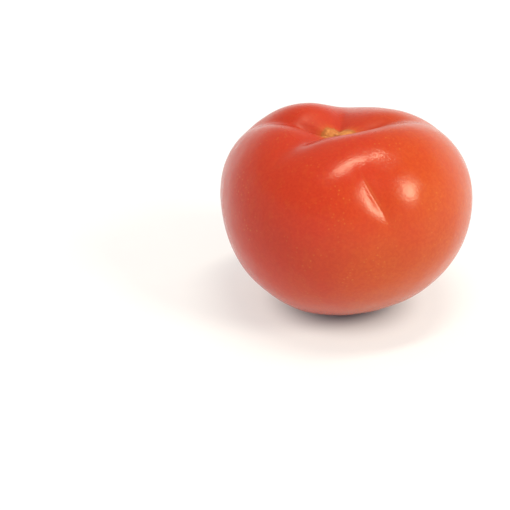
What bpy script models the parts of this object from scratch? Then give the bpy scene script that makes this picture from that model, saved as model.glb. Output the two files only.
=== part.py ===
"""A ripe slicing tomato, standing on its blossom end with the scar of its stem on top.

Run it with blender --background --python part.py. Lengths are in metres and +Z is up. The
origin is the middle of the fruit's footprint, on the surface that it stands on, and -Y is
the fruit's front. The fruit is one solid: an unevenly lobed, flattened globe with a stem
cavity on top, which holds the corky stem scar, and a small flat spot below.
"""

from collections import namedtuple

import bmesh
import bpy
import numpy as np

# Driving dimensions: the box that the whole fruit fills.
WIDTH = 0.0765  # along X, across its widest lobes
DEPTH = 0.0755  # along Y
HEIGHT = 0.0618  # from the flat spot to the highest shoulder

# How finely the globe is cut: 2 * MERIDIANS * (PARALLELS - 1) triangles. The parallels crowd
# towards the stem, where the shape is busiest.
MERIDIANS = 80
PARALLELS = 44
CROWDING = 1.3  # 1 spaces the parallels evenly

# The globe before it is lobed, about the stem's axis, in millimetres. Its widest level is z = 0.
CORE_RADIUS = 33.0
RISE = 26.5  # from the widest level to the crown
DROP = 33.5  # from the widest level to the blossom end
SHOULDER_FULLNESS = 2.1  # superellipse exponents: 2 is an ellipse, more is boxier
BASE_FULLNESS = 2.0

# The hollow round the stem scar, by how far it reaches from the stem's axis to each side.
CAVITY_DEPTH = 7.2
CAVITY_REACH_LEFT = 12.5  # towards -X
CAVITY_REACH_RIGHT = 15.0
CAVITY_REACH_FRONT = 10.0  # towards -Y
CAVITY_REACH_BACK = 9.0

# The stem scar's raised corky rim, at a share of the cavity's reach from its middle.
SCAR_RISE = 0.3
SCAR_REACH = 0.33
SCAR_RIM_BREADTH = 0.14

# The flat spot: everything within this height of the blossom end is pressed flat.
SETTLED = 1.5

# Where the blossom end is, seen from the stem's axis.
BLOSSOM_SHIFT = (0.0, 4.0)

Lobe = namedtuple("Lobe", "azimuth bulge lift spread")
Furrow = namedtuple("Furrow", "azimuth slant depth spread peak fade")

# Azimuths are in degrees from +X towards +Y. A lobe swells the outline by its bulge, and lifts
# the shoulder by its lift, both in millimetres, over its spread, in degrees.
LOBES = (
    Lobe(348, 9.2, 3.0, 60),
    Lobe(251, 3.4, 0.3, 45),
    Lobe(195, 1.8, 1.1, 38),
    Lobe(138, 6.6, 0.9, 38),
    Lobe(50, 9.0, -2.2, 38),
)

# A furrow runs from the scar over the shoulder and down the side. It is deepest, by its
# depth in millimetres, at its peak, a polar angle in degrees from the stem's axis, and a
# larger fade ends it sooner. It passes its peak at its azimuth, and turns by its slant for
# each degree down. Its walls rise over its spread, in degrees to either side.
FURROWS = (
    Furrow(223, 0, 3.3, 18, 22, 3.5),
    Furrow(167, -0.4, 3.2, 11, 17, 1.0),
    Furrow(80, 0, 2.8, 24, 17, 1.6),
    Furrow(10, 0.3, 2.6, 12, 18, 1.5),
    Furrow(291, 0, 0.7, 8, 62, 11.0),
)
FURROW_SOFTNESS = 7.0  # degrees over which a furrow's floor is rounded

SKIN_COLOUR = (0.46, 0.045, 0.008, 1)
SKIN_ROUGHNESS = 0.22


def turn_between(azimuth, centre):
    """Signed angle from centre to azimuth, in degrees, from -180 to 180."""
    return (azimuth - centre + 180) % 360 - 180


def lobes_at(azimuth):
    """How far the lobes swell the outline and lift the shoulder at an azimuth, in millimetres."""
    bulge, lift = np.zeros_like(azimuth), np.zeros_like(azimuth)
    for lobe in LOBES:
        share = np.exp(-((turn_between(azimuth, lobe.azimuth) / lobe.spread) ** 2))
        bulge += lobe.bulge * share
        lift += lobe.lift * share
    return bulge, lift


def furrow_depth(azimuth, polar):
    """How deep the furrows lie below the globe at these angles, in millimetres."""
    depth = np.zeros_like(azimuth)
    for furrow in FURROWS:
        aside = turn_between(azimuth, furrow.azimuth + furrow.slant * (polar - furrow.peak))
        off_floor = np.hypot(aside, FURROW_SOFTNESS) - FURROW_SOFTNESS
        along = polar / furrow.peak
        run = (along * np.exp(1 - along)) ** furrow.fade
        depth += furrow.depth * run * np.exp(-off_floor / furrow.spread)
    return depth


def crown_height(across, forward, lift, up):
    """What the stem cavity, its scar and a lobe's lift add to the globe's upper half."""
    reach_across = np.where(across < 0, CAVITY_REACH_LEFT, CAVITY_REACH_RIGHT)
    reach_forward = np.where(forward < 0, CAVITY_REACH_FRONT, CAVITY_REACH_BACK)
    reach = np.hypot(across / reach_across, forward / reach_forward)
    hollow = np.exp(-(reach**2))
    rim = np.exp(-(((reach - SCAR_REACH) / SCAR_RIM_BREADTH) ** 2))
    return lift * (1 - hollow) * up - CAVITY_DEPTH * hollow + SCAR_RISE * rim


def fruit_points(azimuth, polar):
    """The fruit's surface at azimuths and polar angles in degrees, fitted to its box, in metres."""
    turn, tilt = np.radians(azimuth), np.radians(polar)
    out, up = np.sin(tilt), np.cos(tilt)
    above = up > 0
    fullness = np.where(above, SHOULDER_FULLNESS, BASE_FULLNESS)
    bulge, lift = lobes_at(azimuth)
    radius = (CORE_RADIUS + bulge) * out ** (2 / fullness)
    height = np.where(above, RISE, DROP) * np.sign(up) * np.abs(up) ** (2 / fullness)
    crown = crown_height(radius * np.cos(turn), radius * np.sin(turn), lift, up)
    height += np.where(above, crown, 0)

    sunk = furrow_depth(azimuth, polar)
    radius = np.maximum(radius - sunk * out, 0)
    height -= sunk * up

    near_blossom = np.clip(-height / DROP, 0, 1) ** 2
    x = radius * np.cos(turn) + BLOSSOM_SHIFT[0] * near_blossom
    y = radius * np.sin(turn) + BLOSSOM_SHIFT[1] * near_blossom
    z = np.maximum(height, SETTLED - DROP)
    return fitted_to_box(np.stack([x, y, z], axis=-1))


def fitted_to_box(points):
    """The points, moved and stretched to fill the fruit's box, with its foot at z = 0."""
    low, high = points.min(axis=0), points.max(axis=0)
    size = np.array([WIDTH, DEPTH, HEIGHT])
    centred = (points - (low + high) / 2) / (high - low) * size
    return centred + np.array([0, 0, HEIGHT / 2])


def clear_scene():
    for old in list(bpy.data.objects):
        bpy.data.objects.remove(old, do_unlink=True)


def skin_material():
    material = bpy.data.materials.new("tomato_skin")
    material.use_nodes = True
    shader = material.node_tree.nodes["Principled BSDF"]
    shader.inputs["Base Color"].default_value = SKIN_COLOUR
    shader.inputs["Roughness"].default_value = SKIN_ROUGHNESS
    shader.inputs["Metallic"].default_value = 0
    return material


def add_fruit(collection):
    """A sphere whose points are moved to the fruit's surface at their own angles."""
    mesh = bpy.data.meshes.new("tomato")
    shape = bmesh.new()
    bmesh.ops.create_uvsphere(shape, u_segments=MERIDIANS, v_segments=PARALLELS, radius=1)
    bmesh.ops.triangulate(shape, faces=shape.faces[:])
    shape.to_mesh(mesh)
    shape.free()

    sphere = np.empty(len(mesh.vertices) * 3, np.float32)
    mesh.vertices.foreach_get("co", sphere)
    x, y, z = sphere.reshape(-1, 3).astype(float).T
    azimuth = np.degrees(np.arctan2(y, x)) % 360
    polar = 180 * (np.arctan2(np.hypot(x, y), z) / np.pi) ** CROWDING
    mesh.vertices.foreach_set("co", fruit_points(azimuth, polar).ravel())
    mesh.update()
    mesh.shade_smooth()
    mesh.materials.append(skin_material())

    fruit = bpy.data.objects.new("tomato", mesh)
    collection.objects.link(fruit)
    return fruit


def main():
    clear_scene()
    collection = bpy.data.collections.new("tomato")
    bpy.context.scene.collection.children.link(collection)
    add_fruit(collection)


main()
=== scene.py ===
"""The looks of a ripe slicing tomato: its fine skin and its scars, lit on a white table.

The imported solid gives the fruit's box. The fruit is modelled again inside that box from the same
lobes and furrows, much more finely, with what the plain solid leaves out: the crease on the front
lobe, the corky stem scar with its wrinkles, the blossom scar and the skin's slight unevenness.
Lengths are in metres and +Z is up, except that the shape is worked out in millimetres.
"""

from collections import namedtuple
from math import cos, pi, radians, sin

import bmesh
import bpy
import numpy as np
from mathutils import Matrix, Vector, noise


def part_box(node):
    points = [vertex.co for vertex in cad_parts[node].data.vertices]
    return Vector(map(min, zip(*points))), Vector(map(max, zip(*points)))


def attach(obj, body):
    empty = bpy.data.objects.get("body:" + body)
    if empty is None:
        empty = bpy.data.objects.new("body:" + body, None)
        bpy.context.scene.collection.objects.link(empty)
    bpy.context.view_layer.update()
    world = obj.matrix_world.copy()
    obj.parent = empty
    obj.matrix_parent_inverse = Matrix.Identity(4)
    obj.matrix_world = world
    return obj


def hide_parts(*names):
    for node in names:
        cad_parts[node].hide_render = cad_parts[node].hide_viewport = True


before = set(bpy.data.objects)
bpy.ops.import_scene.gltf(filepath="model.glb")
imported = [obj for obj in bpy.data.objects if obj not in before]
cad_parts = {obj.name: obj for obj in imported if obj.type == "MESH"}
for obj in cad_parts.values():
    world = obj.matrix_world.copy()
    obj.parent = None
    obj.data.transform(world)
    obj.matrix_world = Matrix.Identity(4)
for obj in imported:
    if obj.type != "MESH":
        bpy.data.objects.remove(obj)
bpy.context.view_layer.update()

# ---------------------------------------------------------------- the fruit's shape, as in the CAD

# The globe before it is lobed, about the stem's axis, in millimetres. Its widest level is z = 0.
CORE_RADIUS = 33.0
RISE = 26.5  # from the widest level to the crown
DROP = 33.5  # from the widest level to the blossom end
SHOULDER_FULLNESS = 2.1  # superellipse exponents: 2 is an ellipse, more is boxier
BASE_FULLNESS = 2.0

# The hollow round the stem scar, by how far it reaches from the stem's axis to each side.
CAVITY_DEPTH = 7.2
CAVITY_REACH_LEFT = 12.5  # towards -X
CAVITY_REACH_RIGHT = 15.0
CAVITY_REACH_FRONT = 10.0  # towards -Y
CAVITY_REACH_BACK = 9.0

# The flat spot: everything within this height of the blossom end is pressed flat.
SETTLED = 1.5

# Where the blossom end is, seen from the stem's axis.
BLOSSOM_SHIFT = (0.0, 4.0)

Lobe = namedtuple("Lobe", "azimuth bulge lift spread")
Furrow = namedtuple("Furrow", "azimuth slant depth spread peak fade")

# Azimuths are in degrees from +X towards +Y. A lobe swells the outline by its bulge, and lifts
# the shoulder by its lift, both in millimetres, over its spread, in degrees.
LOBES = (
    Lobe(348, 9.2, 3.0, 60),
    Lobe(251, 3.4, 0.3, 45),
    Lobe(195, 1.8, 1.1, 38),
    Lobe(138, 6.6, 0.9, 38),
    Lobe(50, 9.0, -2.2, 38),
)

# A furrow runs from the scar over the shoulder and down the side. It is deepest, by its
# depth in millimetres, at its peak, a polar angle in degrees from the stem's axis, and a
# larger fade ends it sooner. It passes its peak at its azimuth, and turns by its slant for
# each degree down. Its walls rise over its spread, in degrees to either side.
FURROWS = (
    Furrow(223, 0, 3.3, 18, 22, 3.5),
    Furrow(167, -0.4, 3.2, 11, 17, 1.0),
    Furrow(80, 0, 2.8, 24, 17, 1.6),
    Furrow(10, 0.3, 2.6, 12, 18, 1.5),
    Furrow(291, 0, 0.7, 8, 62, 11.0),
)
FURROW_SOFTNESS = 7.0  # degrees over which a furrow's floor is rounded

# ---------------------------------------------------------------- what only the fine skin shows

CUTS = 126  # cells along each edge of the cube that the fruit's mesh starts as
CROWDING = 1.5  # above 1, the cells crowd towards the stem
TILE_USED = 0.985  # of each side's tile in the texture map, so that no two sides touch

# The stem scar: a raised rim round a plug with a pit in its middle. Distances are shares of the
# cavity's reach from its middle, and heights are in millimetres.
RIM_REACH = 0.33
RIM_BREADTH = 0.13
RIM_RISE = 0.25
RIM_RAGGED = 0.07  # how far the rim wanders, as a share of its reach
RIM_SHARE = (0.85, 0.30)  # its height round the scar: the mean share of its rise, and the change
PLUG_REACH = 0.13
PLUG_RISE = 0.30
PIT_REACH = PLUG_REACH / 3
PIT_SHARE = 1.5  # of the plug's rise
RAGGED_NOISE = (0.28, 3.0)  # size and seed, on a ring of radius 1
UNEVEN_NOISE = (0.16, 5.0)

# How far past the rim the cork starts to thin, where it ends, and how far that end wanders.
CORK_THINS = 0.03
CORK_ENDS = 0.17
CORK_RAGGED = 0.06

# The wrinkles: short creases that run out of the scar, in the same units.
WRINKLES = 15
WRINKLE_DEPTH = 0.22
WRINKLE_START = (0.25, 0.45)
WRINKLE_LENGTH = 0.55
WRINKLE_LENGTH_CHANGE = 0.2
WRINKLE_CROWDING = (1.3, 0.8)  # how unevenly they stand, in one wave and in three

# The crease that runs down the front lobe.
CREASE_START = 48  # polar angles, in degrees
CREASE_END = 79
CREASE_AZIMUTH = 282  # at its start
CREASE_SLANT = 0.40  # degrees of azimuth for each degree down
CREASE_DEPTH = 0.65  # millimetres
CREASE_WALLS = (6.0, 7.0)  # degrees over which its left and its right side rise
CREASE_SOFTNESS = 0.4  # degrees over which its floor is rounded
SLIT_START = 47  # the narrow slit along the upper part of the crease's floor
SLIT_END = 67
SLIT_DEPTH = 0.17  # millimetres
SLIT_WALLS = (2.0, 0.8)  # degrees, as for the crease
HIGHLIGHT_ASIDE = 0.8  # degrees from the slit to the highlight painted on its right lip
HIGHLIGHT_BREADTH = 0.8

# The blossom scar, in the middle of the flat spot, in millimetres.
BLOSSOM_SCAR_RADIUS = 1.5
BLOSSOM_DIMPLE = 0.5

# The skin's own unevenness: millimetres high, millimetres across and seed.
SWELLS = ((0.30, 16.0, 7.0), (0.07, 5.0, 8.0))
SWELLS_START = (0.3, 0.8)  # in shares of the cavity's reach, so that the scar stays sharp

# What the marks on the skin are measured by.
DULL_HOLLOW = (0.6, 1.6)  # shares of the cavity's reach over which its dull skin ends
FULL_FURROW = 3  # millimetres deep, where the mark of a furrow is 1
FARTHEST_REACH = 3  # shares of the cavity's reach, where the mark of the reach is 1
STREAK_LENGTH = 90  # degrees down the fruit that count as far as one radian round it


def turn_between(azimuth, centre):
    """Signed angle from centre to azimuth, in degrees, from -180 to 180."""
    return (azimuth - centre + 180) % 360 - 180


def bell(offset, reach):
    """1 at offset 0, falling off smoothly over reach to either side."""
    return np.exp(-((offset / reach) ** 2))


def smooth_step(low, high, value):
    share = np.clip((value - low) / (high - low), 0, 1)
    return share * share * (3 - 2 * share)


def noise_at(points, size, seed):
    """Smooth noise from -1 to 1, with features size across, at points in the same unit."""
    offset = Vector((seed, 2 * seed, 3 * seed))
    return np.array([noise.noise(Vector(point) / size + offset) for point in points])


def lobes_at(azimuth):
    """How far the lobes swell the outline and lift the shoulder at an azimuth, in millimetres."""
    bulge, lift = np.zeros_like(azimuth), np.zeros_like(azimuth)
    for lobe in LOBES:
        share = bell(turn_between(azimuth, lobe.azimuth), lobe.spread)
        bulge += lobe.bulge * share
        lift += lobe.lift * share
    return bulge, lift


def furrow_depth(azimuth, polar):
    """How deep the furrows lie below the globe at these angles, in millimetres."""
    depth = np.zeros_like(azimuth)
    for furrow in FURROWS:
        aside = turn_between(azimuth, furrow.azimuth + furrow.slant * (polar - furrow.peak))
        off_floor = np.hypot(aside, FURROW_SOFTNESS) - FURROW_SOFTNESS
        along = polar / furrow.peak
        run = (along * np.exp(1 - along)) ** furrow.fade
        depth += furrow.depth * run * np.exp(-off_floor / furrow.spread)
    return depth


def crease(azimuth, polar):
    """The front lobe's crease: its depth in millimetres, and its lip's painted highlight, 0 to 1.
    """
    aside = turn_between(azimuth, CREASE_AZIMUTH + CREASE_SLANT * (polar - CREASE_START))
    off_floor = np.hypot(aside, CREASE_SOFTNESS) - CREASE_SOFTNESS
    walls = np.exp(-off_floor / np.where(aside < 0, *CREASE_WALLS))
    slit = np.exp(-off_floor / np.where(aside < 0, *SLIT_WALLS))
    along = bell(polar - (CREASE_START + CREASE_END) / 2, (CREASE_END - CREASE_START) / 2)
    slit_along = bell(polar - (SLIT_START + SLIT_END) / 2, (SLIT_END - SLIT_START) / 2)
    depth = CREASE_DEPTH * walls * along + SLIT_DEPTH * slit * slit_along
    return depth, bell(aside - HIGHLIGHT_ASIDE, HIGHLIGHT_BREADTH) * slit_along


def stem_scar(reach, turn):
    """The stem scar's relief in millimetres, and how corky the skin is there, from 0 to 1."""
    ring = np.stack([np.cos(turn), np.sin(turn), np.zeros_like(turn)], axis=-1)
    ragged = noise_at(ring, *RAGGED_NOISE)
    mean, change = RIM_SHARE
    rim_at = RIM_REACH * (1 + RIM_RAGGED * ragged)
    rim = bell(reach - rim_at, RIM_BREADTH) * (mean + change * noise_at(ring, *UNEVEN_NOISE))
    plug = bell(reach, PLUG_REACH) - PIT_SHARE * bell(reach, PIT_REACH)
    relief = RIM_RISE * rim + PLUG_RISE * plug
    cork_ends = rim_at + CORK_ENDS + CORK_RAGGED * ragged
    return relief, 1 - smooth_step(rim_at + CORK_THINS, cork_ends, reach)


def wrinkle_depth(reach, turn):
    """Short radial creases round the scar, each with its own length."""
    once, thrice = WRINKLE_CROWDING
    crowded = turn * WRINKLES / 2 + once * np.sin(turn) + thrice * np.sin(3 * turn)
    sharp = (1 - np.abs(np.sin(crowded))) ** 3
    length = WRINKLE_LENGTH + WRINKLE_LENGTH_CHANGE * np.sin(5 * turn + 1)
    return WRINKLE_DEPTH * sharp * smooth_step(*WRINKLE_START, reach) * bell(reach, length)


def cavity_reach(across, forward):
    """How far points are from the stem's axis, in shares of the cavity's reach on their side."""
    reach_across = np.where(across < 0, CAVITY_REACH_LEFT, CAVITY_REACH_RIGHT)
    reach_forward = np.where(forward < 0, CAVITY_REACH_FRONT, CAVITY_REACH_BACK)
    return np.hypot(across / reach_across, forward / reach_forward)


def swollen(points, share):
    """The points, moved in or out by a share of the skin's own unevenness."""
    outward = points / np.linalg.norm(points, axis=-1, keepdims=True)
    for high, size, seed in SWELLS:
        points = points + outward * (high * share * noise_at(points, size, seed))[:, None]
    return points


def fruit(azimuth, polar):
    """The fruit's surface at angles in degrees, in millimetres, and its marks by name.

    The marks are numbers from 0 to 1 for each point, which the material reads.
    """
    turn, tilt = np.radians(azimuth), np.radians(polar)
    out, up = np.sin(tilt), np.cos(tilt)
    above = up > 0
    fullness = np.where(above, SHOULDER_FULLNESS, BASE_FULLNESS)
    bulge, lift = lobes_at(azimuth)
    radius = (CORE_RADIUS + bulge) * out ** (2 / fullness)
    height = np.where(above, RISE, DROP) * np.sign(up) * np.abs(up) ** (2 / fullness)

    reach = cavity_reach(radius * np.cos(turn), radius * np.sin(turn))
    hollow = bell(reach, 1)
    relief, cork = stem_scar(reach, turn)
    crown = lift * (1 - hollow) * up - CAVITY_DEPTH * hollow + relief - wrinkle_depth(reach, turn)
    height += np.where(above, crown, 0)

    furrows = furrow_depth(azimuth, polar)
    creased, crease_highlight = crease(azimuth, polar)
    sunk = furrows + creased
    radius = np.maximum(radius - sunk * out, 0)
    height -= sunk * up

    points = np.stack([radius * np.cos(turn), radius * np.sin(turn), height], axis=-1)
    points = swollen(points, smooth_step(*SWELLS_START, reach))
    near_blossom = np.clip(-points[:, 2] / DROP, 0, 1) ** 2
    points[:, :2] += near_blossom[:, None] * np.array(BLOSSOM_SHIFT)
    points[:, 2] = np.maximum(points[:, 2], SETTLED - DROP)
    from_blossom = np.where(above, DROP, radius)
    points[:, 2] += BLOSSOM_DIMPLE * bell(from_blossom, BLOSSOM_SCAR_RADIUS)
    marks = {
        "cork": np.where(above, cork, 0),
        "hollow": np.where(above, 1 - smooth_step(*DULL_HOLLOW, reach), 0),
        # the furrow mark sets the painted shade in the furrows
        "furrow": np.clip(furrows / FULL_FURROW, 0, 1),
        # the crease mark is the highlight painted along the crease's right lip
        "crease": crease_highlight,
        "blossom": bell(from_blossom, BLOSSOM_SCAR_RADIUS),
        "reach": np.where(above, np.clip(reach / FARTHEST_REACH, 0, 1), 1),
    }
    return points, marks


def fitted(points, low, high):
    """The points, moved and stretched to fill the box between two corners."""
    share = (points - points.min(axis=0)) / np.ptp(points, axis=0)
    return np.array(low) + share * (np.array(high) - np.array(low))


# ---------------------------------------------------------------- the mesh


def numbers_of(items, name, kind, width=1):
    found = np.empty(len(items) * width, kind)
    items.foreach_get(name, found)
    return found.reshape(-1, width) if width > 1 else found


def cube_mesh():
    """A cube of two a side, cut into a grid on each face."""
    mesh = bpy.data.meshes.new("tomato_fruit")
    shape = bmesh.new()
    bmesh.ops.create_cube(shape, size=2)
    bmesh.ops.subdivide_edges(shape, edges=shape.edges[:], cuts=CUTS - 1, use_grid_fill=True)
    shape.to_mesh(mesh)
    shape.free()
    return mesh


def lay_out_map(mesh):
    """The cube's six sides, three across and two up, as the mesh's texture map."""
    place = numbers_of(mesh.vertices, "co", np.float32, 3)[
        numbers_of(mesh.loops, "vertex_index", np.int32)
    ]
    normal = np.repeat(numbers_of(mesh.polygons, "normal", np.float32, 3), 4, axis=0)
    rows = np.arange(len(normal))
    axis = np.abs(normal).argmax(axis=1)
    side = 2 * axis + (normal[rows, axis] > 0)
    across = (1 + TILE_USED * place[rows, (axis + 1) % 3]) / 2
    upward = (1 + TILE_USED * place[rows, (axis + 2) % 3]) / 2
    layer = mesh.uv_layers.new(name="OFBake")
    spot = np.stack([(side % 3 + across) / 3, (side // 3 + upward) / 2], axis=-1)
    layer.uv.foreach_set("vector", spot.astype(np.float32).ravel())


def fruit_mesh(low, high):
    """The fruit's mesh, filling the box between two corners, with its marks as attributes."""
    mesh = cube_mesh()
    lay_out_map(mesh)
    x, y, z = np.tan(numbers_of(mesh.vertices, "co", np.float32, 3).astype(float) * pi / 4).T
    azimuth = np.degrees(np.arctan2(y, x)) % 360
    polar = 180 * (np.arctan2(np.hypot(x, y), z) / pi) ** CROWDING
    points, marks = fruit(azimuth, polar)
    mesh.vertices.foreach_set("co", fitted(points, low, high).ravel())
    for name, values in marks.items():
        mesh.attributes.new(name, "FLOAT", "POINT").data.foreach_set("value", values)
    turn = np.radians(azimuth)
    streaks = np.stack([np.cos(turn), np.sin(turn), polar / STREAK_LENGTH], axis=-1)
    layer = mesh.attributes.new("streaks", "FLOAT_VECTOR", "POINT")
    layer.data.foreach_set("vector", streaks.ravel())
    mesh.update()
    mesh.shade_smooth()
    return mesh


# ---------------------------------------------------------------- materials


class Nodes:
    """A node tree, with short calls for the nodes that it is made of."""

    def __init__(self, owner, shader="Principled BSDF"):
        owner.use_nodes = True
        self.tree = owner.node_tree
        self.shader = self.tree.nodes[shader]

    def put(self, socket, value):
        if isinstance(value, bpy.types.NodeSocket):
            self.tree.links.new(value, socket)
        else:
            socket.default_value = value

    def node(self, kind, inputs, **settings):
        made = self.tree.nodes.new("ShaderNode" + kind)
        for name, value in settings.items():
            setattr(made, name, value)
        for name, value in inputs.items():
            self.put(made.inputs[name], value)
        return made

    def attribute(self, name, output="Fac"):
        return self.node("Attribute", {}, attribute_name=name).outputs[output]

    def noise(self, where, scale, detail, roughness=0.55):
        inputs = {"Vector": where, "Scale": scale, "Detail": detail, "Roughness": roughness}
        return self.node("TexNoise", inputs).outputs["Fac"]

    def pattern(self, where, pattern, to_low=0.0, to_high=1.0):
        """Noise, carried from the pattern's low..high to to_low..to_high and kept there."""
        made = self.noise(where, pattern.scale, pattern.detail)
        return self.ranged(made, pattern.low, pattern.high, to_low, to_high)

    def ranged(self, value, low, high, to_low=0.0, to_high=1.0):
        """value, carried from low..high to to_low..to_high and kept there."""
        inputs = {"Value": value, "From Min": low, "From Max": high}
        inputs |= {"To Min": to_low, "To Max": to_high}
        return self.node("MapRange", inputs, interpolation_type="SMOOTHSTEP").outputs["Result"]

    def math(self, operation, a, b):
        made = self.node("Math", {}, operation=operation)
        self.put(made.inputs[0], a)
        self.put(made.inputs[1], b)
        return made.outputs[0]

    def mix(self, share, a, b):
        made = self.node("Mix", {}, data_type="RGBA")
        self.put(made.inputs["Factor"], share)
        self.put(made.inputs[6], a)
        self.put(made.inputs[7], b)
        return made.outputs[2]

    def bump(self, height, strength, distance, normal=None):
        inputs = {"Height": height, "Strength": strength, "Distance": distance}
        if normal is not None:
            inputs["Normal"] = normal
        return self.node("Bump", inputs).outputs["Normal"]


RIPE_RED = (0.475, 0.030, 0.007, 1)
ORANGE = (0.49, 0.080, 0.008, 1)
DEEP_RED = (0.35, 0.014, 0.004, 1)
GOLD = (0.56, 0.20, 0.028, 1)
CORK = (0.62, 0.26, 0.085, 1)
DARK_CORK = (0.46, 0.15, 0.045, 1)
SCAR_EDGE = (0.30, 0.13, 0.03, 1)
SCAR_CENTRE = (0.22, 0.07, 0.02, 1)
LIP_HIGHLIGHT = (0.60, 0.16, 0.06, 1)  # the highlight painted on the crease's right lip

# The skin turns from red to orange along this direction, over these distances in metres.
ORANGE_SIDE = (1.0, 0.0, -0.6)
TURNS_ORANGE = (-0.044, 0.019)
CLOUD_DRIFT = 0.010  # metres by which the clouds shift that turn to either side

# Noise patterns: features in a metre, octaves, and the noise that counts as none and as full.
Pattern = namedtuple("Pattern", "scale detail low high")
CLOUDS = Pattern(45.0, 3.0, 0.25, 0.75)
STREAKS = Pattern(16.0, 2.0, 0.45, 0.75)  # features in a radian round the fruit
FLECKS = Pattern(1100.0, 2.0, 0.35, 0.65)
PORE_PATCHES = Pattern(90.0, 3.0, 0.40, 0.75)
SHEEN = Pattern(260.0, 3.0, 0.3, 0.7)

PORES = 700.0  # in a metre
PORE_SIZE = (0.10, 0.26)  # where a pore starts to fade and where it ends, in shares of its cell
PEEL = 420.0  # features in a metre of the skin's dimples, and of its finer grain
FINE_PEEL = 1700.0
PEEL_HEIGHT = 0.0002  # metres
FINE_PEEL_HEIGHT = 0.00004
PEEL_STRENGTH = 0.15
CORK_GRAIN = 900.0
CORK_GRAIN_HEIGHT = 0.0005
CORK_GRAIN_STRENGTH = 0.8
CORK_GRAIN_BAND = (0.35, 0.70)

# How strongly each mark colours the skin, and where those that fade with distance do so. The
# distances are in the units of the mark of the reach, and the height of the painted shade at the
# foot is in metres.
STREAK_SHARE = 0.15
FLECK_SHARE = 0.22
# painted shade: deep red laid into the furrows, the more the deeper they are
FURROW_SHADE_SHARE = 0.3
# painted shade: deep red laid over the lowest part of the fruit, where its shadow falls
FOOT_SHADE_SHARE = 0.7
FOOT_SHADE_HEIGHT = 0.010
HALO_SHARE = 0.30
HALO_FADES = (0.12, 0.26)
HALO_RAYS = 0.06  # how far the streaks shift the halo's edge
PORE_SHARE = 0.35
SCAR_EDGE_SHARE = 1.8  # of cork times its absence, which is at most a quarter
SCAR_CENTRE_SHARE = 0.6
SCAR_CENTRE_FADES = (0.01, 0.05)
LIP_HIGHLIGHT_SHARE = 0.30

SKIN_ROUGHNESS = (0.20, 0.26)
HOLLOW_ROUGHNESS = 0.35  # what the cavity and the cork add to it
CORK_ROUGHNESS = 0.3


def skin_colour(nodes, place, cork, grain):
    """Red that turns to orange, with pale pores, faint streaks and corky scars, painted shade in
    the furrows and at the foot, and a painted highlight on the crease's lip.
    """
    reach = nodes.attribute("reach")
    side = nodes.node("VectorMath", {0: place, 1: ORANGE_SIDE}, operation="DOT_PRODUCT")
    clouds = nodes.pattern(place, CLOUDS, -CLOUD_DRIFT, CLOUD_DRIFT)
    ripeness = nodes.ranged(nodes.math("ADD", side.outputs["Value"], clouds), *TURNS_ORANGE)
    colour = nodes.mix(ripeness, RIPE_RED, ORANGE)
    streaks = nodes.pattern(nodes.attribute("streaks", "Vector"), STREAKS)
    colour = nodes.mix(nodes.math("MULTIPLY", streaks, STREAK_SHARE), colour, ORANGE)
    colour = nodes.mix(nodes.pattern(place, FLECKS, 0.0, FLECK_SHARE), colour, DEEP_RED)
    # painted shade: the deeper a furrow, the more deep red is mixed in
    furrow = nodes.math("MULTIPLY", nodes.attribute("furrow"), FURROW_SHADE_SHARE)
    colour = nodes.mix(furrow, colour, DEEP_RED)
    # painted shade: deep red towards the foot, where the fruit's own shadow falls
    height = nodes.node("SeparateXYZ", {"Vector": place}).outputs["Z"]
    colour = nodes.mix(nodes.ranged(height, 0.0, FOOT_SHADE_HEIGHT, FOOT_SHADE_SHARE, 0.0), colour, DEEP_RED)

    rays = nodes.math("ADD", reach, nodes.math("MULTIPLY", streaks, HALO_RAYS))
    halo = nodes.ranged(rays, *HALO_FADES, HALO_SHARE, 0.0)
    colour = nodes.mix(halo, colour, GOLD)

    pores = nodes.node("TexVoronoi", {"Vector": place, "Scale": PORES}, feature="F1")
    specks = nodes.ranged(pores.outputs["Distance"], *PORE_SIZE, PORE_SHARE, 0.0)
    specks = nodes.math("MULTIPLY", specks, nodes.pattern(place, PORE_PATCHES))
    colour = nodes.mix(specks, colour, GOLD)

    cork_colour = nodes.mix(nodes.ranged(grain, *CORK_GRAIN_BAND), DARK_CORK, CORK)
    colour = nodes.mix(cork, colour, cork_colour)
    edge = nodes.math("MULTIPLY", cork, nodes.math("SUBTRACT", 1.0, cork))
    colour = nodes.mix(nodes.math("MULTIPLY", edge, SCAR_EDGE_SHARE), colour, SCAR_EDGE)
    centre = nodes.ranged(reach, *SCAR_CENTRE_FADES, SCAR_CENTRE_SHARE, 0.0)
    colour = nodes.mix(centre, colour, SCAR_CENTRE)
    colour = nodes.mix(nodes.attribute("blossom"), colour, DARK_CORK)
    # painted highlight: a pale line along the crease's right lip, where it catches the light
    lip_highlight = nodes.math("MULTIPLY", nodes.attribute("crease"), LIP_HIGHLIGHT_SHARE)
    return nodes.mix(lip_highlight, colour, LIP_HIGHLIGHT)


def skin_roughness(nodes, place, cork):
    """Glossy skin in slightly dull patches, duller in the cavity and dullest on the cork."""
    rough = nodes.pattern(place, SHEEN, *SKIN_ROUGHNESS)
    dull = nodes.math("MULTIPLY", nodes.attribute("hollow"), HOLLOW_ROUGHNESS)
    corky = nodes.math("MULTIPLY", cork, CORK_ROUGHNESS)
    return nodes.math("ADD", nodes.math("ADD", rough, dull), corky)


def skin_relief(nodes, place, cork, grain):
    """The skin's dimples and finer grain, and the cork's coarse grain."""
    dimples = nodes.bump(nodes.noise(place, PEEL, 2.0), PEEL_STRENGTH, PEEL_HEIGHT)
    fine = nodes.bump(nodes.noise(place, FINE_PEEL, 2.0), 1.0, FINE_PEEL_HEIGHT, dimples)
    corky = nodes.math("MULTIPLY", grain, cork)
    return nodes.bump(corky, CORK_GRAIN_STRENGTH, CORK_GRAIN_HEIGHT, fine)


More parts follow.
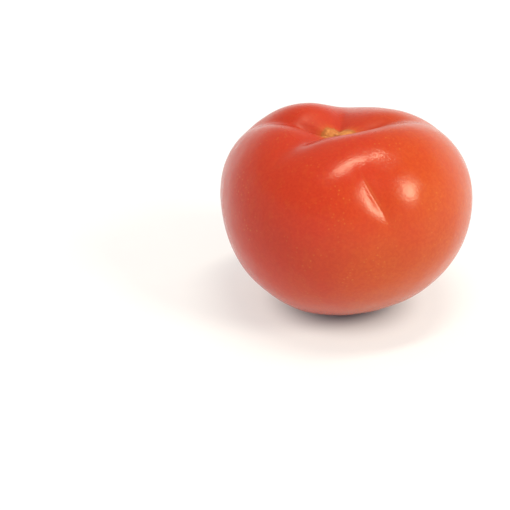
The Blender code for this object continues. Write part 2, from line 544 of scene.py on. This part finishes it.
def skin_material():
    """Waxy tomato skin with its scars."""
    material = bpy.data.materials.new("tomato_skin")
    nodes = Nodes(material)
    place = nodes.node("TexCoord", {}).outputs["Object"]
    cork = nodes.attribute("cork")
    grain = nodes.noise(place, CORK_GRAIN, 4.0, 0.7)
    skin = nodes.shader.inputs
    nodes.put(skin["Base Color"], skin_colour(nodes, place, cork, grain))
    nodes.put(skin["Roughness"], skin_roughness(nodes, place, cork))
    nodes.put(skin["Normal"], skin_relief(nodes, place, cork, grain))
    skin["IOR"].default_value = 1.38
    skin["Subsurface Weight"].default_value = 0.05
    skin["Subsurface Radius"].default_value = (1.0, 0.25, 0.12)
    skin["Subsurface Scale"].default_value = 0.004
    return material


PAPER_GREY = (0.41, 0.43, 0.54, 1)
PAPER_WHITE = (0.43, 0.45, 0.56, 1)
GLOW_COLOUR = (1.0, 0.96, 0.88, 1)
MOTTLE = Pattern(30.0, 3.0, 0.3, 0.7)


def floor_material():
    """Matt paper with the faintest mottle, which a light under it shines through; that light
    fades out round the fruit's foot, painting the fruit's shadow.
    """
    material = bpy.data.materials.new("white_floor")
    nodes = Nodes(material)
    place = nodes.node("TexCoord", {}).outputs["Object"]
    far_off = nodes.node("VectorMath", {0: place}, operation="LENGTH").outputs["Value"]
    # painted shadow: the glow is nothing under the fruit and rises over a few centimetres round it
    glow_past_painted_shadow = nodes.ranged(far_off, *PAINTED_SHADOW_EDGE, 0.0, GLOW)
    far_glow = nodes.ranged(far_off, *BEYOND_LAMPS, 0.0, FAR_GLOW)
    paper = nodes.shader.inputs
    nodes.put(paper["Base Color"], nodes.mix(nodes.pattern(place, MOTTLE), PAPER_GREY, PAPER_WHITE))
    nodes.put(paper["Emission Strength"], nodes.math("ADD", glow_past_painted_shadow, far_glow))
    paper["Emission Color"].default_value = GLOW_COLOUR
    paper["Roughness"].default_value = 0.9
    paper["Specular IOR Level"].default_value = 0.1
    return material


# ---------------------------------------------------------------- the object


def add_tomato():
    low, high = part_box("tomato")
    piece = bpy.data.objects.new("tomato_fruit", fruit_mesh(low, high))
    bpy.context.scene.collection.objects.link(piece)
    piece.data.materials.append(skin_material())
    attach(piece, "root")
    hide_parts("tomato")


# ---------------------------------------------------------------- floor, light and camera

FLOOR_SIDE = 6.0

Lamp = namedtuple("Lamp", "azimuth elevation distance width length heading power")

# Soft boxes round the fruit, by where they stand as seen from it, in degrees and metres, and
# their power in watts. A lamp's length lies as nearly as it can along its heading.
LAMPS = (
    Lamp(325, 36, 1.8, 0.54, 0.66, 325, 18.5),
    Lamp(318, 83, 1.6, 0.24, 0.90, 31, 12.5),
)
LAMP_COLOUR = (1.0, 0.91, 0.63)
SKY = 0.66  # brightness of the surroundings overhead
HORIZON = 1.10  # and low down, like a white wall that curves up out of the table
WALL_BENDS = (0.15, 0.60)  # how high that wall curves over, as sines of elevations
WALL_WHITE = (1.0, 0.96, 0.88, 1)
SKY_WHITE = (1.0, 0.95, 0.82, 1)

# The brightness of the table's own light, as a light table has, and the distances from the
# fruit's middle over which it changes, in metres. It rises from nothing under the fruit, which
# paints a shadow round the fruit's foot.
GLOW = 0.54
FAR_GLOW = 0.30  # what it gains where the lamps no longer reach the table
PAINTED_SHADOW_EDGE = (0.009, 0.027)
BEYOND_LAMPS = (0.5, 2.5)

LENS = 100.0  # millimetres
SENSOR_WIDTH = 36.0
CAMERA_ELEVATION = 27.6
CAMERA_DISTANCE = 0.432
# The fruit stands to the right of the picture's middle, and above it.
RIGHT_OF_MIDDLE = 0.0276
ABOVE_MIDDLE = 0.0137


def towards(azimuth, elevation):
    """The unit vector at an azimuth and an elevation, in degrees."""
    flat = cos(radians(elevation))
    return Vector(
        (flat * cos(radians(azimuth)), flat * sin(radians(azimuth)), sin(radians(elevation)))
    )


def add_floor():
    shape = bmesh.new()
    bmesh.ops.create_grid(shape, x_segments=8, y_segments=8, size=FLOOR_SIDE / 2)
    mesh = bpy.data.meshes.new("floor")
    shape.to_mesh(mesh)
    shape.free()
    mesh.materials.append(floor_material())
    floor = bpy.data.objects.new("floor", mesh)
    bpy.context.scene.collection.objects.link(floor)


def add_lamps(middle):
    for index, lamp in enumerate(LAMPS):
        light = bpy.data.lights.new(f"softbox_{index}", "AREA")
        light.shape = "ELLIPSE"
        light.size = lamp.length
        light.size_y = lamp.width
        light.energy = lamp.power
        light.color = LAMP_COLOUR
        holder = bpy.data.objects.new(light.name, light)
        bpy.context.scene.collection.objects.link(holder)
        backward = towards(lamp.azimuth, lamp.elevation)
        upward = backward.cross(towards(lamp.heading, 0)).normalized()
        along = upward.cross(backward)
        holder.location = middle + backward * lamp.distance
        holder.rotation_euler = Matrix((along, upward, backward)).transposed().to_euler()


def add_sky():
    world = bpy.data.worlds.new("white_surroundings")
    nodes = Nodes(world, "Background")
    way = nodes.node("TexCoord", {}).outputs["Generated"]
    height = nodes.node("SeparateXYZ", {"Vector": way}).outputs["Z"]
    bend = nodes.ranged(height, *WALL_BENDS)
    nodes.put(nodes.shader.inputs["Strength"], nodes.ranged(height, *WALL_BENDS, HORIZON, SKY))
    nodes.put(nodes.shader.inputs["Color"], nodes.mix(bend, WALL_WHITE, SKY_WHITE))
    bpy.context.scene.world = world


def add_camera(middle):
    camera = bpy.data.cameras.new("camera")
    camera.lens = LENS
    camera.sensor_width = SENSOR_WIDTH
    holder = bpy.data.objects.new("camera", camera)
    bpy.context.scene.collection.objects.link(holder)
    backward = towards(270, CAMERA_ELEVATION)
    right = Vector((1, 0, 0))
    upward = backward.cross(right)
    holder.location = (
        middle + backward * CAMERA_DISTANCE - right * RIGHT_OF_MIDDLE - upward * ABOVE_MIDDLE
    )
    holder.rotation_euler = Matrix((right, upward, backward)).transposed().to_euler()
    bpy.context.scene.camera = holder


def set_picture():
    scene = bpy.context.scene
    scene.view_settings.view_transform = "Standard"
    scene.view_settings.look = "None"


def main():
    low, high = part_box("tomato")
    middle = (low + high) / 2
    add_tomato()
    add_floor()
    add_lamps(middle)
    add_sky()
    add_camera(middle)
    set_picture()


main()
